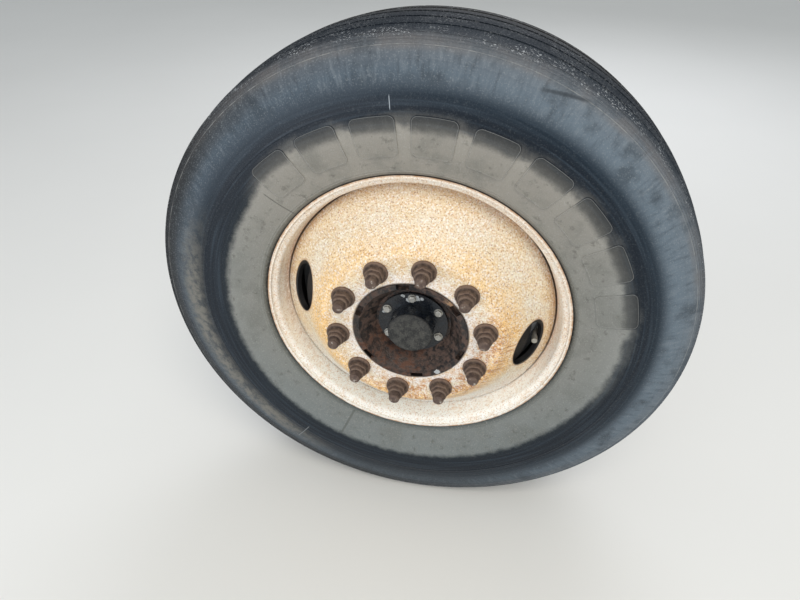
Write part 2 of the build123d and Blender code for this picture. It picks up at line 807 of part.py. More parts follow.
def slack_adjuster():
    boss = Pos(*cam_place) * Circle(cam_radius + slack_boss_wall)
    eye = Pos(chamber_x, cam_height) * Circle(slack_eye_radius)
    outline = make_hull(boss.edges() + eye.edges())
    place = upright(-(slack_near + slack_width))
    body = place * extrude(outline, slack_width)
    worm = Pos(cam_place[0] - worm_offset, slack_line, cam_place[1])
    body = body + worm * Cylinder(worm_radius, worm_length)
    screw = extrude(hexagon(worm_flats), worm_head)
    body = body + worm * Pos(0, 0, -worm_length / 2 - worm_head) * screw
    body = drill(body, [place * Pos(*cam_place)], cam_radius + thread_gap, 3 * slack_width)
    pin = place * Pos(chamber_x, cam_height)
    return drill(body, [pin], clevis_pin_radius + fork_gap, 3 * slack_width)


def brake_chamber():
    """Two pressed shells held by a clamp ring."""
    shell = chamber_radius - clamp_reach
    middle = chamber_height / 2
    clamp = clamp_half + clamp_bevel
    outline = Polyline(
        (0, 0),
        (chamber_foot_radius, 0),
        (chamber_waist_radius, middle / 2),
        (shell, middle - clamp),
        (chamber_radius, middle - clamp_half),
        (chamber_radius, middle + clamp_half),
        (shell, middle + clamp),
        (chamber_waist_radius, chamber_height - chamber_dome_drop),
        (chamber_dome_radius, chamber_height),
        (0, chamber_height),
        close=True,
    )
    body = revolve(make_face(Plane.XZ * outline), Axis.Z)
    return Pos(chamber_x, slack_line, chamber_level) * body


def push_rod():
    """The rod from the chamber, with the fork and pin that hold the slack adjuster's eye."""
    gap = slack_width / 2 + fork_gap
    outside = gap + fork_cheek
    level = Pos(chamber_x, slack_line, cam_height)
    length = chamber_level - cam_height - fork_top
    body = Pos(0, 0, fork_top) * Cylinder(push_rod_radius, length, align=bottom)
    body = body + Pos(0, 0, fork_top) * Box(fork_width, 2 * outside, fork_bridge)
    tall = fork_top + slack_eye_radius
    for side in (1, -1):
        cheek = Box(fork_width, fork_cheek, tall)
        body = body + Pos(0, side * (gap + fork_cheek / 2), tall / 2 - slack_eye_radius) * cheek
    pin_half = outside + fork_cheek / 2
    pin = Rot(90, 0, 0) * Cylinder(clevis_pin_radius, 2 * pin_half)
    return level * (body + pin)


makers = [
    tyre, rim, wheel_disc, valve_stem, wheel_studs, wheel_nuts, brake_drum, hub,
    inner_bearing, outer_bearing, hub_cap, cap_bolts, knuckle, knuckle_bolts, spindle_nut,
    tie_rod_arm, arm_bolts, brake_spider, dust_shield, cam_bracket, camshaft,
    slack_adjuster, brake_chamber, push_rod,
]

os.makedirs("parts", exist_ok=True)
for maker in makers:
    name = maker.__name__
    export_step(maker(), os.path.join("parts", name + ".step"))
    print("made", name)
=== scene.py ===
import math
from functools import partial

import bmesh
import bpy
from mathutils import Matrix, Vector, noise


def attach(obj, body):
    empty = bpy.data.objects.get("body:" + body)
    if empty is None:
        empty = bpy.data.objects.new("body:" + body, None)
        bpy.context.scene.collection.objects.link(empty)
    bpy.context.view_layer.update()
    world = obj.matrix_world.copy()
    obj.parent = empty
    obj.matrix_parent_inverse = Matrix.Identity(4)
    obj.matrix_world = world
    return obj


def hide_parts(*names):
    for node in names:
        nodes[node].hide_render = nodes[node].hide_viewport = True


# Truck front wheel on its steering knuckle. The spindle runs along Y and outboard is -Y.
# Sizes are in millimetres, and angles are degrees round the spindle from +X towards +Z.

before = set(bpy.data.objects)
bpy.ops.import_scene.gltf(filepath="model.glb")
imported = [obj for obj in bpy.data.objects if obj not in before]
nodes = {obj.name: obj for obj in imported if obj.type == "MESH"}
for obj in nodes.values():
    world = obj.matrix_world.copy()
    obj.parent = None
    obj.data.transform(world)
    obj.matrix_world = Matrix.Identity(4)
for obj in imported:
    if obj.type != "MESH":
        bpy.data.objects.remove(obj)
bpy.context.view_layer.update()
mm = 0.001
print("frame loaded:", len(nodes), "nodes")


# Nodes, colours and coordinates that the finishes share

nodeKinds = {
    "coordinates": ("TexCoord", {}),
    "placed": ("Mapping", {"vector_type": "TEXTURE"}),
    "split": ("SeparateXYZ", {}),
    "join": ("CombineXYZ", {}),
    "noise": ("TexNoise", {}),
    "ramp": ("ValToRGB", {}),
    "bump": ("Bump", {}),
    "plus": ("Math", {"operation": "ADD"}),
    "minus": ("Math", {"operation": "SUBTRACT"}),
    "times": ("Math", {"operation": "MULTIPLY"}),
    "over": ("Math", {"operation": "DIVIDE"}),
    "least": ("Math", {"operation": "MINIMUM"}),
    "size": ("Math", {"operation": "ABSOLUTE"}),
    "swing": ("Math", {"operation": "PINGPONG"}),
    "bearing": ("Math", {"operation": "ARCTAN2"}),
    "stretch": ("VectorMath", {"operation": "MULTIPLY"}),
    "lengthen": ("VectorMath", {"operation": "SCALE"}),
    "sum": ("VectorMath", {"operation": "ADD"}),
    "length": ("VectorMath", {"operation": "LENGTH"}),
    "direction": ("VectorMath", {"operation": "NORMALIZE"}),
    "along": ("VectorMath", {"operation": "DOT_PRODUCT"}),
    "range": ("MapRange", {}),
    "ease": ("MapRange", {"interpolation_type": "SMOOTHSTEP"}),
    "blend": ("Mix", {"data_type": "RGBA"}),
    "shader": ("BsdfPrincipled", {}),
    "output": ("OutputMaterial", {}),
}


def toLinear(hexColour, light=(1.0, 1.0, 1.0)):
    # Light is what the colour's red, green and blue are multiplied by.
    parts = [int(hexColour[at:at + 2], 16) / 255 for at in (1, 3, 5)]
    parts = [p / 12.92 if p <= 0.04045 else ((p + 0.055) / 1.055) ** 2.4 for p in parts]
    return (*[part * share for part, share in zip(parts, light)], 1.0)


def addNode(tree, kind, *values, out=0, stops=(), **named):
    # Values fill the node's open sockets in order, or by name, and a text is a hex colour.
    # The output that comes back feeds the next node.
    nodeType, settings = nodeKinds[kind]
    node = tree.nodes.new("ShaderNode" + nodeType)
    for setting, value in settings.items():
        setattr(node, setting, value)
    sockets = [socket for socket in node.inputs if socket.enabled]
    pairs = list(zip(sockets, values))
    pairs += [(node.inputs[name.replace("_", " ")], value) for name, value in named.items()]
    for socket, value in pairs:
        if isinstance(value, bpy.types.NodeSocket):
            tree.links.new(value, socket)
        else:
            socket.default_value = toLinear(value) if isinstance(value, str) else value
    for at, (place, colour) in enumerate(stops):
        elements = node.color_ramp.elements
        element = elements[at] if at < 2 else elements.new(place)
        element.position = place
        element.color = colour
    outputs = [socket for socket in node.outputs if socket.enabled]
    return node.outputs[out] if isinstance(out, str) else outputs[out] if outputs else None


def startMaterial(name):
    material = bpy.data.materials.new(name)
    material.use_nodes = True
    material.node_tree.nodes.clear()
    return material, partial(addNode, material.node_tree)


def wheelSpace(add):
    # Polar coordinates round the spindle: radius and outboard in mm, turn in degrees.
    point = add("coordinates", out="Object")
    flat = add("stretch", point, (1000, 0, 1000))
    outboard = add("times", add("split", point, out="Y"), -1000.0)
    turn = add("bearing", add("split", point, out="Z"), add("split", point, out="X"))
    return {"point": point, "around": add("direction", flat), "radius": add("length", flat),
            "outboard": outboard, "turn": add("times", turn, math.degrees(1)),
            "height": add("times", add("split", point, out="Z"), 1000.0)}


def band(add, value, low, high, soft):
    # One between low and high, easing to nothing past each end.
    return add("times", add("ease", value, low - soft, low + soft),
               add("ease", value, high + soft, high - soft))


def ringNoise(add, space, across, share):
    # Noise drawn out round the wheel: across mm wide, and a share of a radian long.
    reach = add("lengthen", space["around"], Scale=1 / share)
    lift = add("join", 0.0, add("over", space["radius"], across), 0.0)
    return add("noise", add("sum", reach, lift), 1.0, 3.0)


def rampOver(add, value, zones, light=(1.0, 1.0, 1.0)):
    # A colour ramp whose stops stand at real values, such as millimetres or degrees.
    low, high = zones[0][0], zones[-1][0]
    stops = [((place - low) / (high - low), toLinear(colour, light)) for place, colour in zones]
    return add("ramp", add("range", value, low, high), stops=stops)


def weathered(name, settings):
    # A plain finish for the parts behind the wheel: base, worn patches, and dust that lies on top.
    # A noise scale of 1000 over a size in mm gives lumps of about that size.
    material, add = startMaterial(name)
    point = add("coordinates", out="Object")
    facing = add("split", add("coordinates", out="Normal"), out="Z")
    patches = add("noise", point, 1000 / settings["patch"], 5.0, 0.65)
    fine = add("noise", point, 1000 / settings["grit"], 2.0)
    worn = add("ease", patches, settings["wornFrom"], settings["wornFrom"] + 0.12)
    colour = add("blend", worn, settings["base"], settings["worn"])
    colour = add("blend", add("ease", fine, 0.52, 0.72, 0.0, settings["speck"]), colour, settings["dark"])
    lying = add("ease", facing, -0.2, 0.9, 0.25, 1.25)
    dusty = add("times", lying, add("ease", patches, 0.7, 0.35, 0.0, settings["dust"]))
    colour = add("blend", dusty, colour, settings["dustColour"])
    height = add("plus", fine, add("times", worn, 0.6))
    add("output", add("shader", Base_Color=colour, Metallic=settings["metallic"],
                      Roughness=add("ease", patches, 0.35, 0.7, *settings["roughness"]),
                      Normal=add("bump", Distance=settings["depth"] * mm, Height=height)))
    return material


def coat(nodeName, material):
    slots = nodes[nodeName].data.materials
    if not slots:
        slots.append(material)
    for place in range(len(slots)):
        nodes[nodeName].material_slots[place].material = material


def finishPiece(name, mesh, body, material, replaced=()):
    mesh.materials.append(material)
    mesh.polygons.foreach_set("use_smooth", [True] * len(mesh.polygons))
    mesh.set_sharp_from_angle(angle=math.radians(34))
    piece = bpy.data.objects.new(name, mesh)
    bpy.context.scene.collection.objects.link(piece)
    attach(piece, body)
    if replaced:
        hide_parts(*replaced)
    return piece


# Tyre

tyre = {
    "middle": 182.0,            # of the rim, outboard
    "radius": 527.0,
    "treadHalf": 104.0,
    "treadDrop": 8.0,
    "shoulder": (508.0, 111.0),
    "sectionRadius": 406.375,
    "sectionHalf": 139.475,
    "beadTop": (302.95, 119.475),
    "bead": ((298.75, 113.975), (295.97, 107.26), (289.25, 104.475), (288.85, 104.475),
             (285.3, 101.675), (277.34, 71.975), (283.34, 71.975), (329.75, 95.475)),
    "sideWall": 12.5,
    "lining": ((480.0, 99.475), (503.0, 60.0), (503.0, 0.0)),
    "grooves": (20.0, 60.0),
    "grooveWidth": 9.0,
    "grooveFloor": 7.4,
    "grooveDepth": 10.0,
    "edgeGroove": (97.0, 2.0, 5.0),
    "wallStep": 5.2,
    # radius, half width and height of the fine ribs moulded round the wall
    "ribs": ((307.0, 1.2, 0.8), (311.5, 1.0, 0.4), (420.0, 1.0, 0.3), (487.0, 1.0, 0.3),
             (506.0, 0.9, 0.8)),
    "shoulderRibs": 3,
    "steps": 400,
}


def wallArc():
    # Centre and radius of the circle through the shoulder, the widest place and the bead.
    (ax, ay), (cx, cy) = tyre["shoulder"], tyre["beadTop"]
    bx, by = tyre["sectionRadius"], tyre["sectionHalf"]
    d = 2 * (ax * (by - cy) + bx * (cy - ay) + cx * (ay - by))
    ux = ((ax**2 + ay**2) * (by - cy) + (bx**2 + by**2) * (cy - ay) + (cx**2 + cy**2) * (ay - by)) / d
    uy = ((ax**2 + ay**2) * (cx - bx) + (bx**2 + by**2) * (ax - cx) + (cx**2 + cy**2) * (bx - ax)) / d
    return ux, uy, math.hypot(ax - ux, ay - uy)


def treadHeight(off):
    return tyre["radius"] - tyre["treadDrop"] * (off / tyre["treadHalf"]) ** 2


def treadPoints():
    edge, half, depth = tyre["edgeGroove"]
    points = [(treadHeight(0), 0.0)]
    for groove in tyre["grooves"]:
        points += [(treadHeight(groove - 10), groove - 10)]
        for side in (-1, 1):
            mouth = (treadHeight(groove), groove + side * tyre["grooveWidth"] / 2)
            floor = (treadHeight(groove) - tyre["grooveDepth"], groove + side * tyre["grooveFloor"] / 2)
            points += [mouth, floor] if side < 0 else [floor, mouth]
    points += [(treadHeight(off), off) for off in (70.0, 80.0, 90.0)]
    points += [(treadHeight(edge), edge - half), (treadHeight(edge) - depth, edge - half / 2)]
    points += [(treadHeight(edge) - depth, edge + half / 2), (treadHeight(edge), edge + half)]
    points += [(treadHeight(tyre["treadHalf"]) - 0.3, tyre["treadHalf"] - 1)]
    top, foot = (treadHeight(tyre["treadHalf"]), tyre["treadHalf"]), tyre["shoulder"]
    count = 2 * tyre["shoulderRibs"]
    for step in range(1, count):
        share = step / count
        ledge = 1.1 if step % 2 else -0.5
        points.append((top[0] + (foot[0] - top[0]) * share, top[1] + (foot[1] - top[1]) * share + ledge))
    return points


def wallPoints():
    middle, out, arc = wallArc()
    low, high = tyre["beadTop"][0], tyre["shoulder"][0]
    count = round((high - low) / tyre["wallStep"])
    heights = {high - (high - low) * step / count: 0.0 for step in range(count + 1)}
    for radius, half, height in tyre["ribs"]:
        for share, lift in ((-1.6, 0.0), (-0.6, height), (0.6, height), (1.6, 0.0)):
            heights[radius + share * half] = lift
    points = []
    for radius in sorted(heights, reverse=True):
        off = out + math.sqrt(arc**2 - (radius - middle) ** 2)
        lift = heights[radius] / arc
        points.append((radius + (radius - middle) * lift, off + (off - out) * lift))
    return points


def liningPoints():
    points = []
    for step in range(1, 8):
        radius = 329.75 + (480.0 - 329.75) * step / 8
        bulge = 1 - ((radius - tyre["sectionRadius"]) / 77.0) ** 2
        points.append((radius, 96.0 + (tyre["sectionHalf"] - tyre["sideWall"] - 96.0) * max(bulge, 0)))
    return points


def buildTyre(material):
    half = treadPoints() + wallPoints() + list(tyre["bead"]) + liningPoints() + list(tyre["lining"])
    outline = half + [(radius, -off) for radius, off in reversed(half[1:-1])]
    bm = bmesh.new()
    ring = [bm.verts.new((radius * mm, -(tyre["middle"] + off) * mm, 0)) for radius, off in outline]
    edges = [bm.edges.new((ring[at - 1], ring[at])) for at in range(len(ring))]
    bmesh.ops.spin(bm, geom=ring + edges, cent=(0, 0, 0), axis=(0, 1, 0), angle=2 * math.pi,
                   steps=tyre["steps"], use_merge=True)
    bmesh.ops.remove_doubles(bm, verts=bm.verts, dist=0.01 * mm)
    bmesh.ops.recalc_face_normals(bm, faces=bm.faces)
    mesh = bpy.data.meshes.new("tyreWorn")
    bm.to_mesh(mesh)
    bm.free()
    return finishPiece("tyreWorn", mesh, "wheel", material, ["tyre"])


# Plain raised pads in a row over the upper wall, each with a fine rib round it.
pads = {
    "count": 9,
    "turns": (5.5, 136.5),
    "share": 0.76,              # of the pitch that a pad fills
    "radii": (337.0, 409.0),
    "height": 1.2,
    "sunk": 2.0,
    "corner": 11.0,
    "cells": (20, 22),
}


def onWall(radius, turn, lift):
    middle, out, arc = wallArc()
    off = out + math.sqrt(arc**2 - (radius - middle) ** 2)
    radius += (radius - middle) * lift / arc
    off += (off - out) * lift / arc
    at = math.radians(turn)
    return Vector((radius * math.cos(at), -(tyre["middle"] + off), radius * math.sin(at))) * mm


def padSizes():
    # Turn of the first pad's middle, the pitch, and a pad's half width and half height.
    first, last = pads["turns"]
    low, high = pads["radii"]
    pitch = (last - first) / pads["count"]
    halfWidth = math.radians(pitch * pads["share"] / 2) * (low + high) / 2
    return first + pitch / 2, pitch, halfWidth, (high - low) / 2


def roundCorner(across, along, halfWidth, halfHeight):
    # Draws a point of the square grid in to the pad's rounded corner.
    corner = pads["corner"]
    overWidth = abs(across) - halfWidth + corner
    overHeight = abs(along) - halfHeight + corner
    if min(overWidth, overHeight) <= 0:
        return across, along
    share = max(overWidth, overHeight) / math.hypot(overWidth, overHeight)
    return (math.copysign(halfWidth - corner + overWidth * share, across),
            math.copysign(halfHeight - corner + overHeight * share, along))


def buildPads(material):
    first, pitch, halfWidth, halfHeight = padSizes()
    middle = sum(pads["radii"]) / 2
    joined = bmesh.new()
    for step in range(pads["count"]):
        columns, rows = pads["cells"]
        foot = bmesh.ops.create_grid(joined, x_segments=columns, y_segments=rows, size=1.0)["verts"]
        faces = list({face for vert in foot for face in vert.link_faces})
        raised = bmesh.ops.extrude_face_region(joined, geom=faces)
        upper = [item for item in raised["geom"] if isinstance(item, bmesh.types.BMVert)]
        for verts, lift in ((foot, -pads["sunk"]), (upper, pads["height"])):
            for vert in verts:
                across, along = vert.co.x * halfWidth, vert.co.y * halfHeight
                across, along = roundCorner(across, along, halfWidth, halfHeight)
                turn = first + pitch * step + math.degrees(across / middle)
                vert.co = onWall(middle + along, turn, lift)
    bmesh.ops.recalc_face_normals(joined, faces=joined.faces)
    mesh = bpy.data.meshes.new("tyrePads")
    joined.to_mesh(mesh)
    joined.free()
    return finishPiece("tyrePads", mesh, "wheel", material)


# Road-worn rubber, moulded: carbon black dulled by pale dust near the rim, a darker polished band
# where the dust has been rubbed off, and towards the tread a blue-grey bloom that is partly painted
# sky reflection. Painted shade darkens the rubber low down and in its joint with the rim.
rubber = {
    # The blue-grey bare tones from 372 out are partly painted sky reflection, and the near black below 302
    # is painted shadow in the joint with the rim.
    "bare": ((290.0, "#0C0B09"), (302.0, "#2A2A27"), (372.0, "#212A31"), (392.0, "#101B26"),
             (424.0, "#0F1B27"), (440.0, "#1B2935"), (456.0, "#3D4954"), (474.0, "#515E69"),
             (492.0, "#5A626A"), (505.0, "#5E6368"), (518.0, "#585C61"), (521.0, "#161F29"),
             (530.0, "#0E161F")),
    "bareLight": (0.74, 0.75, 0.76),
    # The near black below 303.5 is painted shadow in the joint with the rim.
    "dust": ((290.0, "#0C0B09"), (300.5, "#2A2A26"), (303.5, "#6A6962"), (309.0, "#8A8A84"),
             (331.0, "#8C8C87"), (345.0, "#898A85"), (372.0, "#8D8E8A"), (395.0, "#999A96")),
    "dustLight": (0.79, 0.80, 0.80),
    "roughness": ((290.0, "#E8E8E8"), (366.0, "#E8E8E8"), (380.0, "#A0A0A0"), (440.0, "#A0A0A0"),
                  (470.0, "#C8C8C8"), (530.0, "#E0E0E0")),
    "dustTo": 371.5,
    "wander": 8.0,
    "lift": 24.0,               # how much further out the dust lies between the pads
    "padLift": 11.0,            # and on them
    "rearTurn": -160.0,         # middle of the part that is rubbed dark at the shoulder
    "liftTurns": (-45.0, 9.0, 126.0, 147.0),
    # turn, inner and outer radius, half width, colour and share of seams and scratches
    "lines": ((137.0, 304.0, 366.0, 1.1, "#42423D", 0.6), (-115.5, 304.0, 368.0, 2.4, "#50524E", 0.6),
              (95.5, 417.0, 437.0, 0.6, "#A9B2BA", 0.8), (-125.5, 407.0, 462.0, 0.7, "#8E9394", 0.7)),
}


def padInside(add, space):
    # Distance in mm inside a pad's outline, below zero outside it.
    first, pitch, halfWidth, halfHeight = padSizes()
    middle = sum(pads["radii"]) / 2
    corner = pads["corner"]
    away = add("swing", add("minus", space["turn"], first), pitch / 2)
    across = add("minus", add("times", away, math.radians(1) * middle), halfWidth - corner)
    along = add("minus", add("size", add("minus", space["radius"], middle)), halfHeight - corner)
    corners = add("join", add("times", across, add("ease", across, -0.01, 0.01)),
                  add("times", along, add("ease", along, -0.01, 0.01)), 0.0)
    flat = add("least", add("minus", corner, across), add("minus", corner, along))
    return add("least", flat, add("minus", corner, add("length", corners)))


def tyreRubber(name, onPads):
    material, add = startMaterial(name)
    space = wheelSpace(add)
    radius, turn, point, height = space["radius"], space["turn"], space["point"], space["height"]
    fine = add("noise", point, 1000 / 2.4, 3.0)
    rings = ringNoise(add, space, 5.0, 0.4)
    rays = ringNoise(add, space, 30.0, 0.014)
    clouds = add("noise", point, 1000 / 60, 4.0, 0.6)
    ragged = add("noise", point, 1000 / 17, 5.0, 0.68)

    # Bare rubber, streaked by the road: soft rays in the bloom, rings in the polished band. The pale
    # blue-grey patch laid over the bloom towards the front is painted sky reflection.
    colour = rampOver(add, radius, rubber["bare"], rubber["bareLight"])
    bloomAndSheen = band(add, radius, 456.0, 516.0, 14.0)
    paintedSkyReflection = add("times", bloomAndSheen, add("ease", add("size", add("minus", turn, 18.0)), 100.0, 20.0, 0.0, 0.5))
    colour = add("blend", paintedSkyReflection, colour, "#73818C")
    colour = add("blend", add("times", bloomAndSheen, add("ease", rays, 0.5, 0.8, 0.0, 0.35)), colour, "#7D858B")
    colour = add("blend", add("times", bloomAndSheen, add("ease", rays, 0.5, 0.22, 0.0, 0.45)), colour, "#2B3239")
    colour = add("blend", add("times", bloomAndSheen, add("ease", clouds, 0.5, 0.32, 0.0, 0.6)), colour, "#2F3840")
    polish = add("times", band(add, radius, 384.0, 446.0, 10.0), add("ease", rings, 0.42, 0.75, 0.0, 0.4))
    colour = add("blend", polish, colour, "#36424D")
    brown = add("times", band(add, radius, 500.0, 519.0, 5.0), add("ease", clouds, 0.35, 0.65, 0.1, 0.5))
    brown = add("times", brown, add("ease", height, -200.0, 250.0, 0.1, 1.0))
    colour = add("blend", brown, colour, "#6A6664")
    # Darker and greyer towards the ground: painted shade.
    colour = add("blend", add("ease", height, -370.0, -500.0, 0.0, 0.5), colour, "#2B2F32")
    away = add("swing", add("minus", turn, rubber["rearTurn"]), 180.0)
    rear = add("times", add("ease", away, 92.0, 50.0), add("ease", radius, 462.0, 500.0, 0.0, 0.88))
    colour = add("blend", rear, colour, "#1D1F21")
    seam = add("times", band(add, radius, 505.4, 506.6, 0.6), add("ease", ragged, 0.4, 0.6, 0.1, 0.45))
    colour = add("blend", seam, colour, "#9B9C99")

    # The side towards the truck stays out of the sun, so it is dull and has no blue bloom.
    colour = add("blend", add("ease", space["outboard"], 190.0, 110.0, 0.0, 0.8), colour, "#2D2C2A")

    # Dust up to a ragged edge. Painted light warms it on top, and painted shade darkens it and turns it
    # bluer near the ground.
    early, full, last, end = rubber["liftTurns"]
    lift = add("times", add("ease", turn, early, full), add("ease", turn, end, last))
    lift = add("times", lift, add("ease", clouds, 0.35, 0.65, 0.6 * rubber["lift"], rubber["lift"]))
    wander = add("times", add("minus", ragged, 0.5), 2 * rubber["wander"])
    edge = add("plus", wander, rubber["padLift"] if onPads else lift)
    inside = add("minus", add("plus", edge, rubber["dustTo"]), radius)
    dust = add("ease", inside, -8.0, 7.5)
    powder = rampOver(add, radius, rubber["dust"], rubber["dustLight"])
    powder = add("blend", add("ease", height, 60.0, 330.0, 0.0, 0.6), powder, "#969086")
    powder = add("blend", add("ease", height, 50.0, -330.0, 0.0, 0.5), powder, "#5E696C")
    powder = add("blend", add("ease", clouds, 0.45, 0.7, 0.0, 0.45), powder, "#60625D")
    powder = add("blend", add("ease", ragged, 0.56, 0.7, 0.0, 0.5), powder, "#4C4B45")
    powder = add("blend", add("ease", fine, 0.5, 0.8, 0.0, 0.4), powder, "#A1A09A")
    powder = add("blend", add("ease", space["outboard"], 200.0, 150.0, 0.0, 0.7), powder, "#4B463E")
    thin = add("times", add("ease", inside, -26.0, 0.0), add("over", lift, 60.0))
    colour = add("blend", thin, colour, powder)
    # The dust runs down to the rim, where its near black tones are painted shadow in the joint.
    colour = add("blend", add("plus", dust, add("ease", radius, 303.5, 299.0)), colour, powder)
    grey = add("times", add("ease", fine, 0.5, 0.8, 0.0, 0.4), add("ease", radius, 440.0, 470.0, 0.25, 1.0))
    colour = add("blend", grey, colour, "#8F9598")

    relief = add("plus", add("plus", fine, add("times", rays, 0.6)), add("times", rings, 0.7))
    if onPads:
        # The rubbed face is darker than the wall, with a pale rib of dust round the edge.
        inner = padInside(add, space)
        face = add("ease", inner, 1.0, 3.0)
        colour = add("blend", add("times", face, add("ease", dust, 0.0, 1.0, 0.3, 0.12)), colour, "#55544F")
        rib = band(add, inner, 1.4, 1.9, 0.6)
        colour = add("blend", add("times", rib, 0.65), colour, "#A8A9A5")
        relief = add("plus", relief, add("times", rib, 2.0))
    else:
        scuff = add("times", add("ease", away, 52.0, 22.0), band(add, radius, 430.0, 470.0, 14.0))
        scuff = add("times", scuff, add("ease", ragged, 0.36, 0.6, 0.2, 0.75))
        colour = add("blend", scuff, colour, "#78756C")
        for at, inner, outer, half, tone, share in rubber["lines"]:
            away = add("times", add("size", add("minus", turn, at)), math.radians(1))
            line = add("ease", add("times", away, radius), half * 1.6, half * 0.4, 0.0, share)
            line = add("times", line, add("ease", space["outboard"], 180.0, 200.0))
            line = add("times", line, band(add, radius, inner, outer, 3.0))
            colour = add("blend", line, colour, tone)
        # One dark scrape across the bloom, slanting outwards.
        slant = add("minus", radius, add("plus", add("times", turn, -2.1), 629.0))
        scrape = add("times", band(add, slant, 0.0, 5.0, 2.0), band(add, turn, 59.5, 67.5, 1.5))
        colour = add("blend", add("times", scrape, 0.75), colour, "#2E343A")
        # Grit and pale stone dust held by the tread and its edge.
        tread = add("ease", radius, 512.0, 520.0)
        specks = add("ease", add("noise", point, 1000 / 4.5, 4.0, 0.8), 0.54, 0.6)
        clusters = add("ease", add("noise", point, 1000 / 50, 3.0), 0.42, 0.55)
        off = add("size", add("minus", space["outboard"], tyre["middle"]))
        worn = add("ease", add("size", add("minus", off, 92.0)), 34.0, 10.0, 0.35, 1.0)
        grit = add("times", add("times", specks, clusters), add("times", tread, worn))
        colour = add("blend", add("times", grit, 0.8), colour, "#C4C9CD")
        relief = add("plus", relief, add("times", grit, 3.0))

    add("output", add("shader", Base_Color=colour, IOR=1.52,
                      Specular_IOR_Level=add("ease", radius, 510.0, 520.0, 0.22, 0.08),
                      Roughness=rampOver(add, radius, rubber["roughness"]),
                      Normal=add("bump", Distance=0.5 * mm, Height=relief)))
    return material


# Wheel: rim and disc

# Enamel, sprayed over pressed steel: cream, chalked by the sun, with rust coming through in fine
# specks everywhere and in runs from the nuts, and a brown line of rust and painted shadow where the disc
# meets the rim.
enamel = {
    "cream": "#E2DCC8",
    "yellowed": "#DFCBA2",
    "chalkAndLight": "#EBECE5",
    "rust": "#C67D3E",
    "deepRust": "#80461C",
    # Near black, laid on as painted shade in the hand holes, behind the disc and on faces turned away.
    "dark": "#060506",
    "aged": (0.86, 0.87, 0.93),     # light that an aged coat gives back, against a fresh one
    "creaseRadius": 269.0,
    "creaseOut": 250.0,
    "holeRadius": 226.0,
    "holeTurns": (-9.6, 170.4),
    "holeHalves": (31.5, 54.0),
    "holeLean": 0.72,           # the slanted hole's depth, seen along the spindle
    # how dark the painted shadow in the crease is, by turn
    "crease": ((-180.0, "#707070"), (-150.0, "#404040"), (-120.0, "#202020"), (-90.0, "#202020"),
               (-45.0, "#606060"), (0.0, "#E8E8E8"), (35.0, "#FFFFFF"), (70.0, "#909090"),
               (100.0, "#707070"), (135.0, "#F0F0F0"), (160.0, "#E0E0E0"), (180.0, "#808080")),
}


def holeDistance(add, point, turn):
    # One on the hand hole's edge, less inside it.
    at = math.radians(turn)
    out = enamel["holeRadius"] * mm
    short, long = enamel["holeHalves"]
    local = add("placed", point, (out * math.cos(at), 0, out * math.sin(at)), (0, -at, 0),
                (short * enamel["holeLean"] * mm, 1.0, long * mm))
    return add("length", add("stretch", local, (1, 0, 1)))


